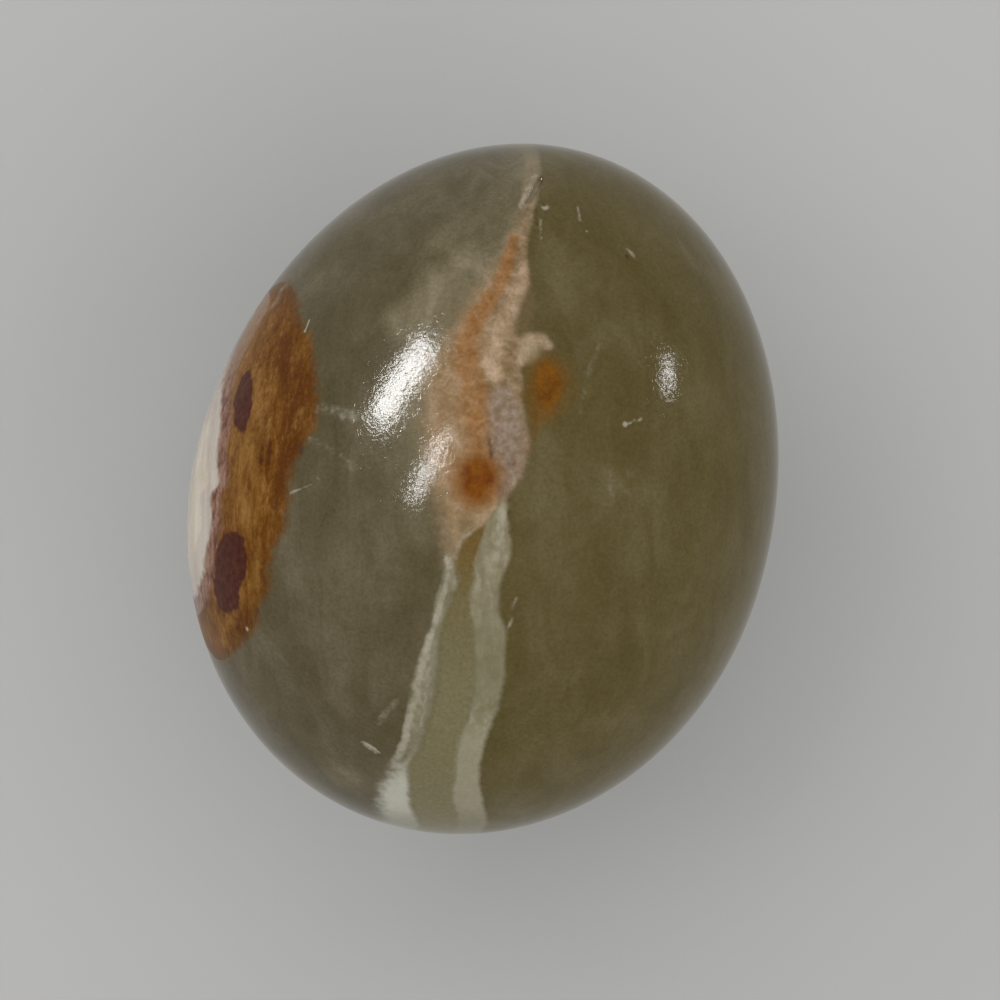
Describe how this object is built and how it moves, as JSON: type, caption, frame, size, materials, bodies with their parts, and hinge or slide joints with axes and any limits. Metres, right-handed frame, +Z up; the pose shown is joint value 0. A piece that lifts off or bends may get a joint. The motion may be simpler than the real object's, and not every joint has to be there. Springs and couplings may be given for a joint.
{
  "type": "stone egg",
  "caption": "Polished egg of banded green onyx marble lying on its side, with calcite veins, an amber stain and a rust and cream banded flank.",
  "frame": {"origin": "on the surface that the egg lies on, under the middle of its length and width", "axes": "+Y along the egg's long axis towards its pointed end, +Z up, +X to the right seen from above"},
  "size_m": [0.053, 0.064, 0.053],
  "materials": {
    "olive_onyx": "polished, slightly orange-peeled",
    "grey_green_onyx": "polished, cloudy",
    "pink_calcite": "polished",
    "white_calcite": "polished",
    "amber_calcite": "polished",
    "rust_banding": "polished",
    "iron_spot": "polished",
    "rose_calcite": "polished",
    "pale_calcite": "polished"
  },
  "bodies": {
    "root": {"olive_stone": "olive_onyx", "grey_stone": "grey_green_onyx", "green_lens": "olive_onyx", "pink_seam": "pink_calcite", "cream_nodule": "pink_calcite", "right_vein": "white_calcite", "left_vein": "white_calcite", "amber_patch": "amber_calcite", "amber_core": "amber_calcite", "amber_spot": "amber_calcite", "rust_band": "rust_banding", "upper_iron_spot": "iron_spot", "lower_iron_spot": "iron_spot", "rose_band": "rose_calcite", "white_band": "pale_calcite", "cream_band": "pale_calcite"}
  },
  "joints": []
}
